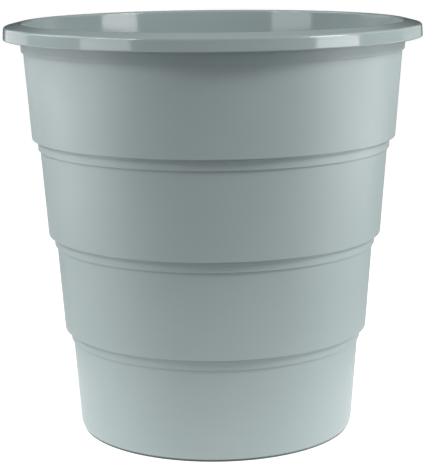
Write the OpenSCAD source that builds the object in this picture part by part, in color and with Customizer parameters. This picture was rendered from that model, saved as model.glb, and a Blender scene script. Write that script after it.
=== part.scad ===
// Round stepped wastebasket: a one-piece, thin-walled polypropylene moulding.
// Four tapering tiers hang one below the other from a rolled rim, and each tier steps in
// over a flat ledge and a short band, so that empty bins nest without jamming.
// Every node is one region of the moulding. Neighbours meet face to face, and each joint
// line runs through a corner of the wall, so that no seam crosses a plain surface.
// Origin: centre of the foot on the floor. +Z is up, and the shape is round about Z.

/* [Rim] */
// Outside diameter of the rim at its top
rim_d = 320; // [300:1:340]
// Radius of the rim's rounded outside edge
rim_round = 2.4; // [2.2:0.1:3]
// Slope of the flange, down towards its outside edge, in degrees
flange_slope = 14; // [4:1:18]
// Radius of the flange's rounded inner lip
lip_round = 2; // [1.4:0.1:3]
// Height of the turned-down skirt, from the centre of the rounded edge
skirt_h = 7.6; // [5:0.2:14]
// Lean of the skirt, outward towards its lower edge, in degrees
skirt_lean = 3; // [0:0.5:4]
// Gap between the collar and the inside of the skirt
grip_gap = 9.8; // [6:0.1:12]

/* [Body] */
// Overall height
body_h = 319; // [316:1:326]
// Height of one tier, from its lower edge to the next tier's
tier_pitch = 75; // [65:0.5:76]
// Height of the band under each tier
band_h = 8.4; // [6:0.2:14]
// Draft of the tier walls and the collar, in degrees from upright
wall_draft = 4.1; // [2:0.1:5]
// Draft of the bands, in degrees from upright
band_draft = 2; // [0:0.1:3]
// Width of the flat ledge under each tier
ledge_w = 4.2; // [2:0.1:6]
// Width of the small ledge under each band and under the collar
small_ledge_w = 1.6; // [1:0.1:3]
// Wall thickness
wall = 1.8; // [1.2:0.1:2]

/* [Base] */
// Height of the lowest tier's nominal edge above the floor
base_z = 6; // [4:0.5:8]
// Height at which the heel starts to turn in
heel_h = 7; // [7:0.5:10]
// Radius of the heel's outside curve
heel_r = 16; // [14:0.5:20]
// Radius of the inside corner between the heel and the floor panel
corner_r = 1.8; // [1:0.1:1.8]
// Width of the ring that the bin stands on
foot_w = 2.4; // [2:0.1:4]
// Height of the foot ring
foot_h = 1; // [0.6:0.1:1.6]
// Height of the underside of the floor panel above the floor
panel_z = 3; // [2:0.5:3]
// Thickness of the floor panel
panel_t = 2.2; // [1.8:0.1:2.2]
// Radius of the raised middle of the floor panel
middle_r = 78; // [60:1:84]
// How far the middle of the floor panel is raised
middle_rise = 1.2; // [0.8:0.1:1.6]
// Diameter of the gate stub left under the middle of the floor panel
gate_d = 5; // [3:0.5:8]

/* [Hidden] */
TIERS = 4;
QUARTERS = 4;
$fn = 192;
PLASTIC = [0.63, 0.68, 0.67];

// Rim: the flange's top and underside are two sloping lines, one wall thickness apart.
rim_r = rim_d / 2;
skirt_in_r = rim_r - wall;
collar_r = skirt_in_r - grip_gap;               // collar's outside radius under the flange
lip_c = [collar_r - wall + lip_round, body_h - lip_round];
slope_n = [sin(flange_slope), cos(flange_slope)];
slope_c = lip_c * slope_n + lip_round;          // the top line is where p * slope_n = slope_c
edge_x = rim_r - rim_round;
edge_c = [edge_x, (slope_c - rim_round - edge_x * slope_n[0]) / slope_n[1]];
collar_top = under_z(collar_r);                 // where the flange's underside meets the collar

// Body: how far each stretch of a tier narrows the bin on its way down
wall_h = tier_pitch - band_h;
wall_in = wall_h * tan(wall_draft);
band_in = band_h * tan(band_draft);
tier_in = wall_in + ledge_w + band_in + small_ledge_w;
collar_low_r = collar_r - (collar_top - wall_top(1)) * tan(wall_draft);
first_r = collar_low_r - small_ledge_w;         // top radius of the first tier's wall

// Base: the heel's two curves share a centre, and the outer one is tangent to the wall.
heel_way = [cos(wall_draft), -sin(wall_draft)]; // from the heel's centre to where it starts
heel_c = [wall_radius(TIERS, heel_h), heel_h] - heel_r * heel_way;
heel_in_r = heel_r - wall;
foot_out_r = heel_radius(heel_r, foot_h);
foot_in_r = foot_out_r - foot_w;
panel_top = panel_z + panel_t;
corner_c = [heel_radius(heel_in_r - corner_r, panel_top + corner_r), panel_top + corner_r];
panel_r = corner_c[0];                          // where the inside corner meets the panel

function skirt_name(i) = str("rim_skirt_", i);
function tier_name(i) = str("tier_", i, "_wall");
function step_name(i) = str("step_", i);
// Heights of the flange's top and underside at radius r
function top_z(r) = (slope_c - r * slope_n[0]) / slope_n[1];
function under_z(r) = (slope_c - wall - r * slope_n[0]) / slope_n[1];
// Heights of the lower edge and of the top of tier i's wall, counted from the top tier
function wall_foot(i) = base_z + (TIERS - i) * tier_pitch;
function wall_top(i) = wall_foot(i) + wall_h;
// Outside radius of tier i's wall at height z
function wall_radius(i, z) = first_r - (i - 1) * tier_in - (wall_top(i) - z) * tan(wall_draft);
// Radius, at height z, of a curve of radius r about the heel's centre
function heel_radius(r, z) = heel_c[0] + sqrt(r * r - (heel_c[1] - z) * (heel_c[1] - z));

// A ring whose section is the children, or the part of one that starts at +X and turns by turn.
module ring_of(turn = 360) {
    color(PLASTIC) rotate_extrude(angle = turn) children();
}

// What a rounded corner removes: a box from corner to corner, less the disc inside it.
module corner_waste(low, high, centre, r) {
    difference() {
        translate(low) square(high - low);
        translate(centre) circle(r);
    }
}

// Flange: a sloping ring, rounded at its outside edge and at its inner lip.
module rim_flange() {
    spare = 1;
    lip_x = collar_r - wall;
    ring_of() difference() {
        polygon([
            [lip_x, lip_c[1]], [collar_r, collar_top], [skirt_in_r, under_z(skirt_in_r)],
            [skirt_in_r, edge_c[1]], [rim_r, edge_c[1]], [rim_r, top_z(rim_r)],
            [lip_c[0], top_z(lip_c[0])], [lip_x, top_z(lip_c[0])]
        ]);
        corner_waste([lip_x - spare, lip_c[1]], [lip_c[0] + lip_round * slope_n[0], body_h + spare],
            lip_c, lip_round);
        corner_waste([edge_x + rim_round * slope_n[0], edge_c[1]], [rim_r + spare, body_h],
            edge_c, rim_round);
    }
}

// Quarter i of the skirt, a turned-down ring with a full round along its lower edge. It is in
// quarters so that a coarse collision model still follows the finger gap behind it.
module rim_skirt(i) {
    along = [sin(skirt_lean), -cos(skirt_lean)];
    across = [cos(skirt_lean), sin(skirt_lean)];
    edge_r = wall * across[0] / 2;
    out_top = [rim_r, edge_c[1]];
    out_low = out_top + (skirt_h - edge_r) / across[0] * along;
    mid = out_low - edge_r * across;
    past = 2 * edge_r * along;
    rotate([0, 0, (i - 1) * 360 / QUARTERS]) ring_of(360 / QUARTERS) difference() {
        polygon([out_top, out_low + past, out_low + past - 2 * edge_r * across, out_top - [wall, 0]]);
        difference() {
            translate(mid) rotate(skirt_lean) translate([-wall, -2 * wall]) square(2 * wall);
            translate(mid) circle(edge_r);
        }
    }
}

// Collar: a band under the flange that ends in a small ledge over the first tier.
module collar_band() {
    low = wall_top(1);
    ring_of() polygon([
        [collar_r, collar_top], [collar_low_r, low], [first_r, low],
        [first_r - wall, low + wall], [collar_low_r - wall, low + wall], [collar_r - wall, lip_c[1]]
    ]);
}

// Wall of one tier: a tapered tube. The lowest one ends where the heel starts.
module tier_wall(i) {
    top = wall_top(i);
    top_r = wall_radius(i, top);
    low = i < TIERS ? wall_foot(i) : heel_h;
    low_r = wall_radius(i, low);
    low_in = i < TIERS ? [low_r - wall, low + wall] : heel_c + heel_in_r * heel_way;
    ring_of() polygon([[top_r, top], [low_r, low], low_in, [top_r - wall, top + wall]]);
}

// Step below tier i: flat ledge, short band and small ledge, at one wall thickness.
module step(i) {
    z = wall_foot(i);
    r = wall_radius(i, z);
    band_r = r - ledge_w;
    outside = [
        [r, z], [band_r, z],
        [band_r - band_in, z - band_h], [band_r - band_in - small_ledge_w, z - band_h]
    ];
    inside = [for (k = [3:-1:0]) outside[k] + [-wall, wall]];
    ring_of() polygon(concat(outside, inside));
}

// Heel: the lowest wall turns in towards the foot, with a rounded inside corner over the panel.
module base_heel() {
    ring_of() difference() {
        intersection() {
            translate(heel_c) circle(heel_r);
            polygon([
                [foot_in_r, foot_h], [rim_r, foot_h], heel_c + rim_r * heel_way,
                heel_c + heel_in_r * heel_way, corner_c, [panel_r, panel_z],
                [foot_in_r, panel_z]
            ]);
        }
        difference() {
            intersection() {
                translate(heel_c) circle(heel_in_r);
                translate([panel_r - 1, panel_top]) square(heel_r);
            }
            corner_waste([panel_r, panel_top - 1], corner_c + [heel_r, 0], corner_c, corner_r);
        }
    }
}

// Foot: the narrow ring that the bin stands on, bevelled on both sides.
module foot_ring() {
    bevel = foot_h / 2;
    ring_of() polygon([
        [foot_out_r, foot_h], [foot_out_r - bevel, 0], [foot_in_r + bevel, 0], [foot_in_r, foot_h]
    ]);
}

// Floor panel: flat at its edge, raised in the middle, with the gate stub underneath.
module base_floor() {
    slope_w = 3;
    stub_h = 0.7;
    middle_z = panel_z + middle_rise;
    ring_of() polygon([
        [0, middle_z], [middle_r, middle_z], [middle_r + slope_w, panel_z], [panel_r, panel_z],
        [panel_r, panel_top], [middle_r + slope_w, panel_top], [middle_r, middle_z + panel_t],
        [0, middle_z + panel_t]
    ]);
    color(PLASTIC) translate([0, 0, middle_z - stub_h]) cylinder(d = gate_d, h = panel_t);
}

rim_flange();
for (i = [1:QUARTERS])
    rim_skirt(i);
collar_band();
for (i = [1:TIERS])
    tier_wall(i);
for (i = [1:TIERS - 1])
    step(i);
base_heel();
base_floor();
foot_ring();
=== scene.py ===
"""Looks for the stepped wastebasket: turned shells, moulded-plastic materials, studio and camera.

Every shell is a closed outline of (radius, height) points turned about Z. It stands for one CAD
node, except that a single shell stands for the skirt's four quarters. The outlines take their
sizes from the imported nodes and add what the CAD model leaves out, such as rounded ledges. The
joint lines between shells lie on straight stretches of the outline, where they don't show.
Lengths are in metres.
"""

import math

import bpy
from mathutils import Matrix, Vector


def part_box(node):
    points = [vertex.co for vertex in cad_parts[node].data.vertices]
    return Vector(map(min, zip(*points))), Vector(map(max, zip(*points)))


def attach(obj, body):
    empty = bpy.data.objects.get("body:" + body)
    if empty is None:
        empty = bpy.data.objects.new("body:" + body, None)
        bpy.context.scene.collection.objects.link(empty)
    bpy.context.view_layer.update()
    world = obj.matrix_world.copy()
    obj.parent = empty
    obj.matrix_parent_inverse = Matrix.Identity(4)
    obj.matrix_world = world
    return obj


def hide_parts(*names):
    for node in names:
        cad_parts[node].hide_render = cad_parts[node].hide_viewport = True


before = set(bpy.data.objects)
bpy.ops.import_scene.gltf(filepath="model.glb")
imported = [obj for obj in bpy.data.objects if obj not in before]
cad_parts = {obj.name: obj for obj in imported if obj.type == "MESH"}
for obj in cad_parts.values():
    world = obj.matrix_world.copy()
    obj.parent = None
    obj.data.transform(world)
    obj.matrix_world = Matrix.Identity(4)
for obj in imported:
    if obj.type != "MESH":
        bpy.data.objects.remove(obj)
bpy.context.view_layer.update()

MM = 0.001
TURNS = 192                    # faces around each shell
ON_AXIS = 1e-7                 # a radius below this is a point on the axis
OUTSIDE, INSIDE = 0, 1         # a shell's two materials


# ---------------------------------------------------------------- sizes read from the frame

def rings(node, z):
    """Distinct radii of a CAD node's vertices at height z, widest first."""
    near = [v.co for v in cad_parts[node].data.vertices if abs(v.co.z - z) < 0.02 * MM]
    found = []
    for radius in sorted((math.hypot(co.x, co.y) for co in near), reverse=True):
        if not found or found[-1] - radius > 0.1 * MM:
            found.append(radius)
    return found


def low(node):
    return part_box(node)[0].z


def high(node):
    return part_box(node)[1].z


def at_height(a, b, z):
    """Point at height z on the line through points a and b."""
    return a[0] + (b[0] - a[0]) * (z - a[1]) / (b[1] - a[1]), z


def across(point):
    """The point across the wall from a corner of a ledge: one wall further in and further up."""
    return point[0] - WALL, point[1] + WALL


WALL = high("step_1") - low("tier_1_wall")    # wall thickness
TIERS, QUARTERS = 4, 4
SKIRT = [f"rim_skirt_{i}" for i in range(1, QUARTERS + 1)]
WALLS = [f"tier_{i}_wall" for i in range(1, TIERS + 1)]
STEPS = [f"step_{i}" for i in range(1, TIERS)]


class Ledge:
    """A flat ledge where the bin steps in: its outer edge, its root, and the cut between shells."""

    def __init__(self, node, z):
        self.edge, self.root = [(r, z) for r in rings(node, z)[:2]]
        self.cut = ((self.edge[0] + self.root[0]) / 2, z)


small_ledges = [Ledge(node, low(node)) for node in ["collar_band"] + STEPS]
wide_ledges = [Ledge(step, low(wall)) for wall, step in zip(WALLS, STEPS)]

rim_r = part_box("rim_flange")[1].x
rim_top = high("rim_flange")
edge_z = high(SKIRT[0])
collar_high = (rings("collar_band", high("collar_band"))[0], high("collar_band"))
heel_start = (rings(WALLS[-1], low(WALLS[-1]))[0], low(WALLS[-1]))
heel_inside = (rings("base_heel", high("base_heel"))[-1], high("base_heel"))
foot_z = low("base_heel")
foot_out, foot_in = rings("foot_ring", foot_z)
tread_out, tread_in = rings("foot_ring", low("foot_ring"))
panel_z = low("base_floor")
middle_top = high("base_floor")
middle_r = rings("base_floor", middle_top)[0]
slope_r = rings("base_floor", panel_z)[1]

FLANGE_SLOPE, SKIRT_LEAN = math.radians(14), math.radians(3)
FLOOR_WALL = 2.2 * MM                              # thickness of the floor panel
GATE_R, GATE_DROP = 2.5 * MM, 0.7 * MM             # the gate stub under the floor panel

# Radii of the rounded corners
RIM_ROUND, LIP_ROUND = 2.4 * MM, 2.0 * MM          # the flange's outside edge and inner lip
GROOVE_COLLAR, GROOVE_SKIRT = 0.8 * MM, 0.6 * MM   # under the flange, at the collar and skirt
SKIRT_ROUND = 0.86 * MM                            # both sides of the skirt's lower edge
SMALL_LEDGE = 0.2 * MM                             # a small ledge's edge and root, outside
SMALL_EDGE_IN, SMALL_ROOT_IN = 0.4 * MM, 0.6 * MM  # the same two corners, inside
WIDE_EDGE, WIDE_ROOT = 0.35 * MM, 0.25 * MM        # a wide ledge's edge and root, outside
WIDE_EDGE_IN, WIDE_ROOT_IN = 0.8 * MM, 0.7 * MM    # the same two corners, inside
HEEL_IN = 2.8 * MM                                 # between the heel and the floor panel, inside
FOOT_ROOT = 0.6 * MM                               # between the floor panel and the foot
TREAD_IN, TREAD_OUT = 0.4 * MM, 0.5 * MM           # the edges that the bin stands on
SLOPE_IN, SLOPE_UNDER = 1.6 * MM, 1.2 * MM         # where the floor panel rises, above and below
GATE_ROOT, GATE_EDGE = 0.25 * MM, 0.2 * MM         # the gate stub

# How finely an outline is drawn
ARC_STEP = math.radians(10)    # longest turn between two points of a rounded corner
HEEL_STEPS = 10                # stretches in the heel's curve
LONG = 0.8 * MM                # a straight stretch longer than this gets support points
SUPPORT = 0.12 * MM            # how far they lie from its ends


# ---------------------------------------------------------------- outlines

def arc(before, corner, after, radius):
    """Points of the arc that rounds a corner, tangent to both of its sides."""
    p = Vector(corner)
    to_b, to_a = (Vector(before) - p).normalized(), (Vector(after) - p).normalized()
    half = to_b.angle(to_a) / 2
    centre = p + (to_b + to_a).normalized() * radius / math.sin(half)
    start = p + to_b * radius / math.tan(half) - centre
    end = p + to_a * radius / math.tan(half) - centre
    turn = math.atan2(start.x * end.y - start.y * end.x, start.dot(end))
    steps = max(3, math.ceil(abs(turn) / ARC_STEP))
    return [centre + Matrix.Rotation(turn * k / steps, 2) @ start for k in range(steps + 1)]


def rounded(corners):
    """(radius, height, face) points of an outline, with an arc at each corner that has a rounding."""
    points = []
    for k, (point, rounding, face) in enumerate(corners):
        before, after = corners[k - 1], corners[(k + 1) % len(corners)]
        if rounding:
            points += [(p.x, p.y, before[2]) for p in arc(before[0], point, after[0], rounding)]
            points[-1] = (*points[-1][:2], face)
        else:
            points.append((*point, face))
    return points


def outline(corners):
    """Closed outline from (point, rounding, face) corners, as (radius, height, face) points.
    The corners run counterclockwise, so that the shell's faces look outward, and face is the
    material of the stretch that starts there. Long straight stretches get support points near
    both ends, which keep their shading straight up to the rounding."""
    points = rounded(corners)
    supported = []
    for k, (r, z, face) in enumerate(points):
        after = points[(k + 1) % len(points)]
        supported.append((r, z, face))
        length = math.hypot(after[0] - r, after[1] - z)
        if length > LONG and max(r, after[0]) > 0:
            for share in (SUPPORT / length, 1 - SUPPORT / length):
                supported.append((r + (after[0] - r) * share, z + (after[1] - z) * share, face))
    return supported


def turned_verts(points):
    """Vertices of the outline turned about Z, and where each point's ring of them starts.
    A point on the axis becomes a single vertex."""
    verts, starts = [], []
    for r, z, _ in points:
        starts.append(len(verts))
        if r < ON_AXIS:
            verts.append((0, 0, z))
            continue
        for k in range(TURNS):
            angle = 2 * math.pi * k / TURNS
            verts.append((r * math.cos(angle), r * math.sin(angle), z))
    return verts, starts


def turned_faces(points, starts):
    """Faces between neighbouring rings, and each face's material slot."""
    faces, slots = [], []
    for k, (r, _, slot) in enumerate(points):
        after = (k + 1) % len(points)
        a, b = starts[k], starts[after]
        a_pole, b_pole = r < ON_AXIS, points[after][0] < ON_AXIS
        if a_pole and b_pole:
            continue
        for j in range(TURNS):
            n = (j + 1) % TURNS
            first = [a] if a_pole else [a + j, a + n]
            second = [b] if b_pole else [b + n, b + j]
            faces.append(first + second)
            slots.append(slot)
    return faces, slots


def turned(name, corners, materials):
    """A shell: the outline of these corners turned about Z."""
    points = outline(corners)
    verts, starts = turned_verts(points)
    faces, slots = turned_faces(points, starts)
    mesh = bpy.data.meshes.new(name)
    mesh.from_pydata(verts, [], faces)
    for material in materials:
        mesh.materials.append(material)
    mesh.polygons.foreach_set("material_index", slots)
    mesh.polygons.foreach_set("use_smooth", [True] * len(faces))
    mesh.update()
    shell = bpy.data.objects.new(name, mesh)
    bpy.context.scene.collection.objects.link(shell)
    return shell


def crossing(a, angle_a, b, angle_b):
    """Where two lines cross, each given by a point and its angle from the horizontal."""
    da = Vector((math.cos(angle_a), math.sin(angle_a)))
    db = Vector((math.cos(angle_b), math.sin(angle_b)))
    gap = Vector(b) - Vector(a)
    return tuple(Vector(a) + da * (gap.x * db.y - gap.y * db.x) / (da.x * db.y - da.y * db.x))


def rim_lines():
    """Corners of the rim, where the flange's top and underside meet the skirt and the collar."""
    collar = small_ledges[0].edge
    inside_low = across(collar)
    inside_high = (collar_high[0] - WALL, rim_top - LIP_ROUND)
    lip_c = Vector((inside_high[0] + LIP_ROUND, inside_high[1]))
    up = Vector((math.sin(FLANGE_SLOPE), math.cos(FLANGE_SLOPE)))
    top, under = lip_c + up * LIP_ROUND, lip_c + up * (LIP_ROUND - WALL)
    skirt_angle = math.radians(90) + SKIRT_LEAN
    collar_angle = math.atan2(collar_high[1] - collar[1], collar_high[0] - collar[0])
    slope = -FLANGE_SLOPE
    return {
        "edge": crossing(top, slope, (rim_r, edge_z), skirt_angle),
        "lip": crossing(top, slope, inside_low, collar_angle),
        "collar": crossing(under, slope, collar, collar_angle),
        "skirt": crossing(under, slope, (rim_r - WALL, edge_z), skirt_angle),
        "inside_low": inside_low,
    }


RIM = rim_lines()
RIM_CUT = edge_z - 1.0 * MM              # height of the joint between flange and skirt
COLLAR_CUT = collar_high[1] - 2.5 * MM   # height of the joint between flange and collar
HEEL_CUT = heel_start[1] + 2.5 * MM      # height of the joint between lowest wall and heel
FLOOR_CUT = foot_in - 1.6 * MM           # radius of the joint between heel and floor panel


def skirt_line(offset, z):
    """Point of the skirt at height z, offset inward from its outside."""
    return rim_r - offset - (z - edge_z) * math.tan(SKIRT_LEAN), z


def rim_flange():
    collar = small_ledges[0].edge
    return [
        (skirt_line(0, RIM_CUT), 0, OUTSIDE),
        (RIM["edge"], RIM_ROUND, OUTSIDE),
        (RIM["lip"], LIP_ROUND, INSIDE),
        (at_height(RIM["inside_low"], RIM["lip"], COLLAR_CUT), 0, INSIDE),
        (at_height(collar, collar_high, COLLAR_CUT), 0, OUTSIDE),
        (RIM["collar"], GROOVE_COLLAR, OUTSIDE),
        (RIM["skirt"], GROOVE_SKIRT, OUTSIDE),
        (skirt_line(WALL, RIM_CUT), 0, OUTSIDE),
    ]


def rim_skirt():
    foot = low(SKIRT[0])
    return [
        (skirt_line(WALL, RIM_CUT), 0, OUTSIDE),
        (skirt_line(WALL, foot), SKIRT_ROUND, OUTSIDE),
        (skirt_line(0, foot), SKIRT_ROUND, OUTSIDE),
        (skirt_line(0, RIM_CUT), 0, OUTSIDE),
    ]


def collar_band():
    ledge = small_ledges[0]
    return [
        (at_height(ledge.edge, collar_high, COLLAR_CUT), 0, OUTSIDE),
        (at_height(RIM["inside_low"], RIM["lip"], COLLAR_CUT), 0, INSIDE),
        (across(ledge.edge), SMALL_EDGE_IN, INSIDE),
        (across(ledge.cut), 0, INSIDE),
        (ledge.cut, 0, OUTSIDE),
        (ledge.edge, SMALL_LEDGE, OUTSIDE),
    ]


def tier_wall(i):
    top = small_ledges[i]
    corners = [
        (top.root, SMALL_LEDGE, OUTSIDE),
        (top.cut, 0, INSIDE),
        (across(top.cut), 0, INSIDE),
        (across(top.root), SMALL_ROOT_IN, INSIDE),
    ]
    if i == TIERS - 1:
        return corners + [
            (at_height(across(top.root), heel_inside, HEEL_CUT), 0, INSIDE),
            (at_height(top.root, heel_start, HEEL_CUT), 0, OUTSIDE),
        ]
    foot = wide_ledges[i]
    return corners + [
        (across(foot.edge), WIDE_EDGE_IN, INSIDE),
        (across(foot.cut), 0, INSIDE),
        (foot.cut, 0, OUTSIDE),
        (foot.edge, WIDE_EDGE, OUTSIDE),
    ]


def step(i):
    wide, small = wide_ledges[i], small_ledges[i + 1]
    return [
        (wide.cut, 0, INSIDE),
        (across(wide.cut), 0, INSIDE),
        (across(wide.root), WIDE_ROOT_IN, INSIDE),
        (across(small.edge), SMALL_EDGE_IN, INSIDE),
        (across(small.cut), 0, INSIDE),
        (small.cut, 0, OUTSIDE),
        (small.edge, SMALL_LEDGE, OUTSIDE),
        (wide.root, WIDE_ROOT, OUTSIDE),
    ]


def heel_curve(top):
    """The heel's outside: an arc that leaves the wall smoothly and ends at the foot ring."""
    start, end = Vector(heel_start), Vector((foot_out, foot_z))
    wall = (start - Vector(top)).normalized()
    inward = Vector((wall.y, -wall.x))
    chord = end - start
    radius = chord.length_squared / (2 * chord.dot(inward))
    centre = start + inward * radius
    arm, last = start - centre, end - centre
    turn = math.atan2(arm.x * last.y - arm.y * last.x, arm.dot(last))
    turns = [Matrix.Rotation(turn * k / HEEL_STEPS, 2) for k in range(HEEL_STEPS + 1)]
    return [tuple(centre + part @ arm) for part in turns]


def base_heel():
    top = small_ledges[-1].root
    floor_top = panel_z + FLOOR_WALL
    corners = [
        (at_height(top, heel_start, HEEL_CUT), 0, OUTSIDE),
        (at_height(across(top), heel_inside, HEEL_CUT), 0, INSIDE),
        (at_height(across(top), heel_inside, floor_top), HEEL_IN, INSIDE),
        ((FLOOR_CUT, floor_top), 0, INSIDE),
        ((FLOOR_CUT, panel_z), 0, OUTSIDE),
        ((foot_in, panel_z), FOOT_ROOT, OUTSIDE),
        ((foot_in, foot_z), 0, OUTSIDE),
    ]
    return corners + [(point, 0, OUTSIDE) for point in reversed(heel_curve(top))]


def foot_ring():
    return [
        ((foot_out, foot_z), 0, OUTSIDE),
        ((foot_in, foot_z), 0, OUTSIDE),
        ((tread_in, 0), TREAD_IN, OUTSIDE),
        ((tread_out, 0), TREAD_OUT, OUTSIDE),
    ]


def base_floor():
    floor_top = panel_z + FLOOR_WALL
    middle_under = middle_top - FLOOR_WALL
    gate_z = middle_under - GATE_DROP
    return [
        ((0, middle_top), 0, OUTSIDE),
        ((0, gate_z), 0, OUTSIDE),
        ((GATE_R, gate_z), GATE_EDGE, OUTSIDE),
        ((GATE_R, middle_under), GATE_ROOT, OUTSIDE),
        ((middle_r, middle_under), SLOPE_UNDER, OUTSIDE),
        ((slope_r, panel_z), SLOPE_UNDER, OUTSIDE),
        ((FLOOR_CUT, panel_z), 0, INSIDE),
        ((FLOOR_CUT, floor_top), 0, INSIDE),
        ((slope_r, floor_top), SLOPE_IN, INSIDE),
        ((middle_r, middle_top), SLOPE_IN, INSIDE),
    ]


# ---------------------------------------------------------------- materials

TINT_DEEP, TINT_PALE = (0.322, 0.386, 0.388), (0.338, 0.402, 0.402)
WAVE = 0.10 * MM               # depth of the slow unevenness of a thin wall


def noise(tree, vector, scale, detail):
    node = tree.nodes.new("ShaderNodeTexNoise")
    node.inputs["Scale"].default_value = scale
    node.inputs["Detail"].default_value = detail
    tree.links.new(vector, node.inputs["Vector"])
    return node.outputs["Fac"]


def spread(tree, value, lowest, highest):
    """Stretches the middle of a noise's range over lowest to highest."""
    node = tree.nodes.new("ShaderNodeMapRange")
    node.inputs["From Min"].default_value = 0.3
    node.inputs["From Max"].default_value = 0.7
    node.inputs["To Min"].default_value = lowest
    node.inputs["To Max"].default_value = highest
    tree.links.new(value, node.inputs["Value"])
    return node.outputs["Result"]


def bump(tree, height, distance, normal=None):
    node = tree.nodes.new("ShaderNodeBump")
    node.inputs["Distance"].default_value = distance
    tree.links.new(height, node.inputs["Height"])
    if normal:
        tree.links.new(normal, node.inputs["Normal"])
    return node.outputs["Normal"]


def plastic(name, roughness, grain):
    """Grey polypropylene with a faint drift in tint and gloss. roughness is its mean roughness,
    and grain is the depth of the mould's fine texture."""
    material = bpy.data.materials.new(name)
    material.use_nodes = True
    tree = material.node_tree
    shader = tree.nodes["Principled BSDF"]
    shader.inputs["Specular IOR Level"].default_value = 0.5
    shader.inputs["IOR"].default_value = 1.49
    place = tree.nodes.new("ShaderNodeTexCoord").outputs["Object"]
    tint = tree.nodes.new("ShaderNodeMix")
    tint.data_type = "RGBA"
    tint.inputs["A"].default_value = (*TINT_DEEP, 1)
    tint.inputs["B"].default_value = (*TINT_PALE, 1)
    tree.links.new(spread(tree, noise(tree, place, 14, 2), 0, 1), tint.inputs["Factor"])
    tree.links.new(tint.outputs["Result"], shader.inputs["Base Color"])
    gloss = spread(tree, noise(tree, place, 55, 3), roughness * 0.92, roughness * 1.08)
    tree.links.new(gloss, shader.inputs["Roughness"])
    waves = bump(tree, noise(tree, place, 16, 1), WAVE)
    surface = bump(tree, noise(tree, place, 1800, 2), grain, waves)
    tree.links.new(surface, shader.inputs["Normal"])
    return material


def satin_plastic():
    """Outside of the walls, from a finely textured stretch of the mould."""
    return plastic("satin_plastic", roughness=0.42, grain=0.012 * MM)


def polished_plastic():
    """The rim and the inside, from a polished stretch of the mould."""
    return plastic("polished_plastic", roughness=0.10, grain=0.002 * MM)


satin = satin_plastic()
polished = polished_plastic()


# ---------------------------------------------------------------- shells

def place_shell(name, nodes, corners, outside, inside):
    """Adds the shell that stands for these nodes, with the outside material in its first slot and the
    inside one in its second, and hides the nodes.
    """
    shell = turned(name, corners, [outside, inside])
    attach(shell, "root")
    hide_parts(*nodes)


place_shell("flange_shell", ["rim_flange"], rim_flange(), polished, polished)
place_shell("skirt_shell", SKIRT, rim_skirt(), polished, polished)
place_shell("collar_shell", ["collar_band"], collar_band(), satin, polished)
for number, node in enumerate(WALLS):
    place_shell(f"wall_shell_{number + 1}", [node], tier_wall(number), satin, polished)
for number, node in enumerate(STEPS):
    place_shell(f"step_shell_{number + 1}", [node], step(number), satin, polished)
place_shell("heel_shell", ["base_heel"], base_heel(), satin, polished)
place_shell("floor_shell", ["base_floor"], base_floor(), satin, polished)
place_shell("foot_shell", ["foot_ring"], foot_ring(), satin, satin)


# ---------------------------------------------------------------- studio

def add_lamp(name, light, place, turn):
    """Puts a light in the scene, hidden from the camera."""
    lamp = bpy.data.objects.new(name, light)
    lamp.location = place
    lamp.rotation_euler = turn
    lamp.visible_camera = False
    bpy.context.scene.collection.objects.link(lamp)


def aimed(name, place, target, width, height, power):
    """Softbox of this size and power at a place, facing a target."""
    light = bpy.data.lights.new(name, "AREA")
    light.shape = "RECTANGLE"
    light.size, light.size_y, light.energy = width, height, power
    facing = (Vector(target) - Vector(place)).to_track_quat("-Z", "Y")
    add_lamp(name, light, place, facing.to_euler())


def softbox(name, azimuth, distance, z, width, height, power):
    """Upright softbox round the bin, at an azimuth from the camera's side, centred at height z."""
    turn = math.radians(azimuth)
    place = (distance * math.sin(turn), -distance * math.cos(turn), z)
    aimed(name, place, (0, 0, z), width, height, power)


def glow(name, radius, power):
    """Round light just above the floor, shining up past the bin as a bright floor would."""
    light = bpy.data.lights.new(name, "AREA")
    light.shape = "DISK"
    light.size, light.energy = 2 * radius, power
    add_lamp(name, light, (0, 0, 2 * MM), (math.pi, 0, 0))


def for_camera_only(tree):
    """A strength that is 1 for what the camera sees directly and 0 for all other light."""
    rays = tree.nodes.new("ShaderNodeLightPath")
    level = tree.nodes.new("ShaderNodeMapRange")
    tree.links.new(rays.outputs["Is Camera Ray"], level.inputs["Value"])
    return level.outputs["Result"]


def floor_white():
    """White to the camera, which hides shadows, and a matt mid grey for all other light."""
    material = bpy.data.materials.new("floor_white")
    material.use_nodes = True
    shader = material.node_tree.nodes["Principled BSDF"]
    shader.inputs["Base Color"].default_value = (0.3, 0.3, 0.3, 1)
    shader.inputs["Roughness"].default_value = 0.8
    shader.inputs["Emission Color"].default_value = (1, 1, 1, 1)
    strength = for_camera_only(material.node_tree)
    material.node_tree.links.new(strength, shader.inputs["Emission Strength"])
    return material


def floor():
    """Plain floor that reaches past every view."""
    half = 12.0
    mesh = bpy.data.meshes.new("floor")
    mesh.from_pydata([(-half, -half, 0), (half, -half, 0), (half, half, 0), (-half, half, 0)],
                     [], [(0, 1, 2, 3)])
    mesh.materials.append(floor_white())
    plane = bpy.data.objects.new("floor", mesh)
    bpy.context.scene.collection.objects.link(plane)


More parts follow.
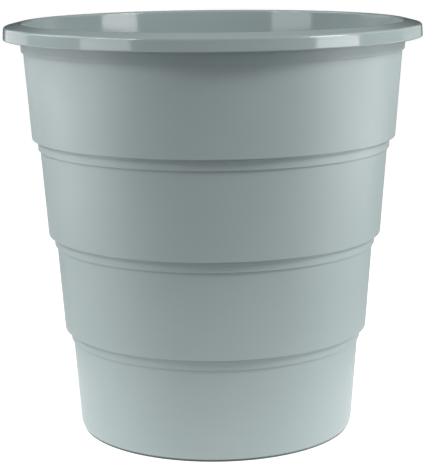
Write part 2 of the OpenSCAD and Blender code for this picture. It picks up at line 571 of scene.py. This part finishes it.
def white_room():
    """Surroundings that are white to the camera and give no light."""
    world = bpy.data.worlds.new("white_room")
    world.use_nodes = True
    background = world.node_tree.nodes["Background"]
    background.inputs["Color"].default_value = (1, 1, 1, 1)
    strength = for_camera_only(world.node_tree)
    world.node_tree.links.new(strength, background.inputs["Strength"])
    bpy.context.scene.world = world


def camera():
    """Long lens a little above the rim, looking down at the middle of the bin."""
    place = Vector((0.0017, -1.2048, 0.3885))
    pitch, yaw, roll = math.radians(11.10), math.radians(-0.159), math.radians(-0.588)
    forward = Vector((math.sin(yaw) * math.cos(pitch), math.cos(yaw) * math.cos(pitch),
                      -math.sin(pitch)))
    level = Vector((math.cos(yaw), -math.sin(yaw), 0))
    upright = level.cross(forward)
    right = level * math.cos(roll) + upright * math.sin(roll)
    up = upright * math.cos(roll) - level * math.sin(roll)
    lens = bpy.data.cameras.new("camera")
    lens.lens, lens.sensor_width = 120.2, 36
    view = bpy.data.objects.new("camera", lens)
    axes = Matrix((right, up, -forward)).transposed()
    view.matrix_world = Matrix.Translation(place) @ axes.to_4x4()
    bpy.context.scene.collection.objects.link(view)
    bpy.context.scene.camera = view


floor()
white_room()
softbox("left_softbox", -55, 1.2, 0.43, 0.62, 0.34, 2.3)
softbox("left_softbox_top", -55, 1.2, 1.05, 0.62, 0.40, 8.2)
softbox("right_softbox", 65.5, 1.2, 0.43, 0.56, 0.34, 3.7)
softbox("right_softbox_top", 65.5, 1.2, 1.05, 0.56, 0.40, 14)
softbox("left_card", -85, 0.9, 0.1, 0.9, 0.18, 2.1)
softbox("right_card", 90, 0.9, 0.1, 0.9, 0.18, 2.15)
softbox("back_left", -130, 1.4, 0.5, 0.9, 0.9, 2.6)
softbox("back_right", 135, 1.4, 0.5, 0.9, 0.9, 1.3)
aimed("top_back", (0, 1.0, 1.0), (0, 0, 0.3), 1.4, 0.7, 0.46)
aimed("top_left", (-1.0, 0.1, 1.0), (0, 0, 0.3), 1.0, 0.7, 7.2)
aimed("top_right", (1.0, 0.1, 1.0), (0, 0, 0.3), 1.0, 0.7, 2.9)
glow("foot_glow", 0.24, 0.52)
glow("floor_glow", 0.45, 0.6)
camera()
bpy.context.scene.view_settings.view_transform = "Standard"
